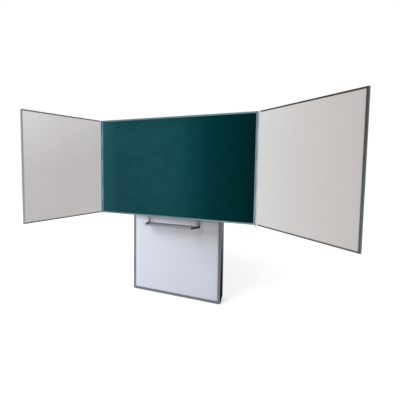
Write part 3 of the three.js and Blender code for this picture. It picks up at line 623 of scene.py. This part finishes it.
def lathe_on(bm, place, normal, profile, sides, twist=0.0):
    """Adds a turned or many-sided head to bm, seated at place and rising along normal.

    profile holds (radius, height) from the rim to the middle, where the radius is 0.
    """
    normal, side, up = frame_of(normal)
    place = Vector(place)
    rings = []
    for radius, height in profile:
        if radius == 0:
            rings.append([bm.verts.new(place + normal * height)])
            continue
        middle = place + normal * height
        rings.append([
            bm.verts.new(middle + side * radius * math.cos(a) + up * radius * math.sin(a))
            for a in round_angles(sides, twist)
        ])
    join_rings(bm, rings)


SEAT_DEPTH = 0.0004  # how far a head or a washer reaches into what carries it
WASHER_RIM, WASHER_TOP = 0.0012, 0.0016


def pan_head(bm, place, normal, radius):
    """A domed screw head with a socket, seated on a surface."""
    dome = ((1, 0.18), (0.93, 0.36), (0.72, 0.5), (0.46, 0.56), (0.4, 0.52), (0.38, 0.12), (0, 0.1))
    outline = [(share * radius, rise * radius) for share, rise in dome]
    lathe_on(bm, place, normal, [(radius, -SEAT_DEPTH), *outline], sides=18)


def hex_head(bm, place, normal, radius):
    """A hexagon head with a chamfered top on a round washer."""
    washer, washer_face, chamfer = 1.35 * radius, 1.3 * radius, 0.9 * radius
    low, shoulder, top = WASHER_TOP - 0.0002, WASHER_TOP + 0.5 * radius, WASHER_TOP + 0.6 * radius
    lathe_on(bm, place, normal, [
        (washer, -SEAT_DEPTH), (washer, WASHER_RIM), (washer_face, WASHER_TOP), (0, WASHER_TOP),
    ], sides=24)
    lathe_on(bm, place, normal, [
        (radius, low), (radius, shoulder), (chamfer, top), (0, top),
    ], sides=6, twist=0.3)


def fasteners(name, body, head, places):
    """One mesh of screw heads of one kind, at (place, normal, radius) each."""
    bm = bmesh.new()
    for place, normal, radius in places:
        head(bm, place, normal, radius)
    bmesh.ops.recalc_face_normals(bm, faces=bm.faces)
    piece = new_piece(name, mesh_of(bm, name), screw)
    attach(piece, body)
    add_bevel(piece, SCREW_EDGE, over_degrees=30)


CABLE_RADIUS = 0.002
CABLE_SIDES, CABLE_STEPS = 10, 24


def cable_run(name, x, low, high, node):
    """A straight cable run between the pulley and what it carries."""
    bm = bmesh.new()
    rings = []
    for i in range(CABLE_STEPS + 1):
        z = low + (high - low) * i / CABLE_STEPS
        rings.append([
            bm.verts.new((x + CABLE_RADIUS * math.cos(a), CABLE_RADIUS * math.sin(a), z))
            for a in round_angles(CABLE_SIDES)
        ])
    join_rings(bm, rings)
    bm.faces.new(rings[0][::-1])
    bm.faces.new(rings[-1])
    mesh = mesh_of(bm, name)
    mesh.shade_smooth()
    piece = new_piece(name, mesh, wire_rope)
    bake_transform(piece)
    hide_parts(node)


for side in HANDS:
    for run, body in (("board", "board"), ("weight", f"{side}_counterweight")):
        node = f"{side}_cable_{run}_run"
        low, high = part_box(node)
        x = (low.x + high.x) / 2
        cable_run(f"{node}_rope", x, low.z, high.z, node)

# Screws in the column's outer sides: at the profiles' two ends and in the head cover
PROFILE_SCREW_YS, PROFILE_SCREW_ZS = (-0.045, 0.045), (0.041, 1.97)
COVER_SCREW_YS, COVER_SCREW_Z = (-0.055, 0.055), 2.002
PROFILE_SCREW_RADIUS, COVER_SCREW_RADIUS = 0.005, 0.004

# Bolts in each carriage arm: a pair into each rail, one on each roller's axle, one at the cable lug
RAIL_BOLT_Y, RAIL_BOLT_RISES = -0.105, (-0.015, 0.015)
LUG_BOLT_RISE = 0.056  # over the upper rail's middle
BOLT_RADIUS, AXLE_BOLT_RADIUS = 0.0075, 0.009

# Screws in the back of each handle arm
HANDLE_SCREW_UNDER_TOP, HANDLE_SCREW_OVER_END, HANDLE_SCREW_RADIUS = 0.0085, 0.007, 0.004
BACKWARDS = (0, 1, 0)

for side, hand in HANDS.items():
    out = (hand, 0, 0)
    low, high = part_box(f"{side}_guide_profile")
    face = high.x if hand > 0 else low.x
    profile_screws = [(face, y, z) for y in PROFILE_SCREW_YS for z in PROFILE_SCREW_ZS]
    fasteners(f"{side}_column_screws", "column", pan_head, [
        *((place, out, PROFILE_SCREW_RADIUS) for place in profile_screws),
        *(((face, y, COVER_SCREW_Z), out, COVER_SCREW_RADIUS) for y in COVER_SCREW_YS),
    ])
    low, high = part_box(f"{side}_carriage_arm")
    face = high.x if hand > 0 else low.x
    rails = [
        sum(corner.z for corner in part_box(f"{place}_carriage_rail")) / 2 for place in ("lower", "upper")
    ]
    rail_bolts = [(face, RAIL_BOLT_Y, middle + rise) for middle in rails for rise in RAIL_BOLT_RISES]
    fasteners(f"{side}_carriage_bolts", "board", hex_head, [
        *((place, out, BOLT_RADIUS) for place in rail_bolts),
        *(((face, 0, middle), out, AXLE_BOLT_RADIUS) for middle in rails),
        ((face, 0, rails[1] + LUG_BOLT_RISE), out, BOLT_RADIUS),
    ])
    low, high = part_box(f"{side}_handle_arm")
    middle = (low.x + high.x) / 2
    fasteners(f"{side}_handle_screws", "board", pan_head, [
        ((middle, high.y, z), BACKWARDS, HANDLE_SCREW_RADIUS)
        for z in (high.z - HANDLE_SCREW_UNDER_TOP, low.z + HANDLE_SCREW_OVER_END)
    ])

# Screws in the frames' backs, from the two outer edges that meet at each mitre
MIDDLE_OF_BAR, PAST_MITRE = 0.009, 0.06
FRAME_SCREW_RADIUS = 0.0035


def back_screws(name, body, corner, across, back):
    """Screws in the back of a frame, two beside each mitre.

    corner is the lower corner of the back face, across leads to its other lower corner, and back
    is its normal.
    """
    corner, across, back = Vector(corner), Vector(across), Vector(back)
    length = across.length
    along = across.normalized()
    places = []
    for u, v in ((MIDDLE_OF_BAR, PAST_MITRE), (PAST_MITRE, MIDDLE_OF_BAR)):
        for a in (u, length - u):
            for b in (v, BOARD_HEIGHT - v):
                places.append((corner + along * a + Vector((0, 0, b)), back, FRAME_SCREW_RADIUS))
    fasteners(name, body, pan_head, places)


def turned(point, axis, angle):
    """A point turned about an upright axis."""
    dx, dy = point[0] - axis[0], point[1] - axis[1]
    c, s = math.cos(angle), math.sin(angle)
    return (axis[0] + c * dx - s * dy, axis[1] + s * dx + c * dy)


board_corner = (BOARD_LEFT_X, FRAME_BACK_Y, BOARD_LOW_Z)
back_screws("board_frame_screws", "board", board_corner, (BOARD_WIDTH, 0, 0), BACKWARDS)
for side, hand in HANDS.items():
    hinge = HINGE_LINES[side]
    angle = -hand * math.radians(WING_FOLDS[side])
    near = turned((hinge[0] + hand * WING_NEAR, FRAME_BACK_Y), hinge, angle)
    far = turned((hinge[0] + hand * WING_FAR, FRAME_BACK_Y), hinge, angle)
    across = (far[0] - near[0], far[1] - near[1], 0)
    back = (-math.sin(angle), math.cos(angle), 0)
    back_screws(f"{side}_wing_frame_screws", f"{side}_wing", (*near, BOARD_LOW_Z), across, back)


# Studio: pale floor, white surroundings for what the camera and glossy rays see
WHITE = grey(1)
SOFT_LIGHT, SEEN_WHITE = 0.60, 1.0
FLOOR_RADIUS, FLOOR_Z, FLOOR_TONE = 14, -0.0005, 0.90
FLOOR_NEAR, FLOOR_FAR = 1.2, 3.5  # where the floor's own glow begins and ends to rise
GLOW_NEAR, GLOW_FAR = 0.36, 0.56


def seen_rays(tree):
    """1 for camera, glossy and transmission rays, 0 for the rays that carry diffuse light."""
    path = tree.nodes.new("ShaderNodeLightPath")
    seen = path.outputs["Is Camera Ray"]
    for kind in ("Is Glossy Ray", "Is Transmission Ray"):
        either = tree.nodes.new("ShaderNodeMath")
        either.operation = "MAXIMUM"
        tree.links.new(seen, either.inputs[0])
        tree.links.new(path.outputs[kind], either.inputs[1])
        seen = either.outputs[0]
    return seen


def make_world():
    world = bpy.data.worlds.new("studio")
    bpy.context.scene.world = world
    world.use_nodes = True
    tree = world.node_tree
    soft = tree.nodes["Background"]
    white = tree.nodes.new("ShaderNodeBackground")
    for background, strength in ((soft, SOFT_LIGHT), (white, SEEN_WHITE)):
        background.inputs["Color"].default_value = WHITE
        background.inputs["Strength"].default_value = strength
    mix = tree.nodes.new("ShaderNodeMixShader")
    tree.links.new(seen_rays(tree), mix.inputs["Fac"])
    tree.links.new(soft.outputs[0], mix.inputs[1])
    tree.links.new(white.outputs[0], mix.inputs[2])
    tree.links.new(mix.outputs[0], tree.nodes["World Output"].inputs["Surface"])


def floor_look():
    """Matt and pale, with a glow of its own that rises away from the object."""
    n = Nodes("floor_look")
    n.bsdf.inputs["Base Color"].default_value = grey(FLOOR_TONE)
    n.bsdf.inputs["Roughness"].default_value = 0.9
    n.bsdf.inputs["Specular IOR Level"].default_value = 0.0
    away = n.add("ShaderNodeVectorMath", operation="LENGTH")
    n.link(n.object, away.inputs[0])
    rise = n.remap(away.outputs["Value"], GLOW_NEAR, GLOW_FAR, FLOOR_NEAR, FLOOR_FAR)
    strength = n.add("ShaderNodeMath", operation="MULTIPLY")
    n.link(rise, strength.inputs[0])
    n.link(seen_rays(n.tree), strength.inputs[1])
    glow = n.add("ShaderNodeEmission")
    n.link(strength.outputs[0], glow.inputs["Strength"])
    both = n.add("ShaderNodeAddShader")
    n.link(n.bsdf.outputs[0], both.inputs[0])
    n.link(glow.outputs[0], both.inputs[1])
    n.link(both.outputs[0], n.tree.nodes["Material Output"].inputs["Surface"])
    return n.mat


def make_floor():
    bm = bmesh.new()
    bmesh.ops.create_circle(bm, cap_ends=True, segments=64, radius=FLOOR_RADIUS)
    floor = new_piece("floor", mesh_of(bm, "floor"), floor_look())
    floor.location = (0, 0, FLOOR_Z)


def area_light(name, place, target, size, power):
    data = bpy.data.lights.new(name, "AREA")
    data.shape = "DISK"
    data.size = size
    data.energy = power
    light = bpy.data.objects.new(name, data)
    light.location = place
    light.rotation_euler = (Vector(target) - Vector(place)).to_track_quat("-Z", "Y").to_euler()
    light.visible_glossy = False
    bpy.context.scene.collection.objects.link(light)


make_world()
make_floor()
area_light("key", place=(-2.2, -3.4, 4.4), target=(0, -0.2, 1.1), size=3.0, power=120)
area_light("fill", place=(3.6, -3.6, 2.2), target=(0, -0.2, 1.3), size=3.0, power=65)
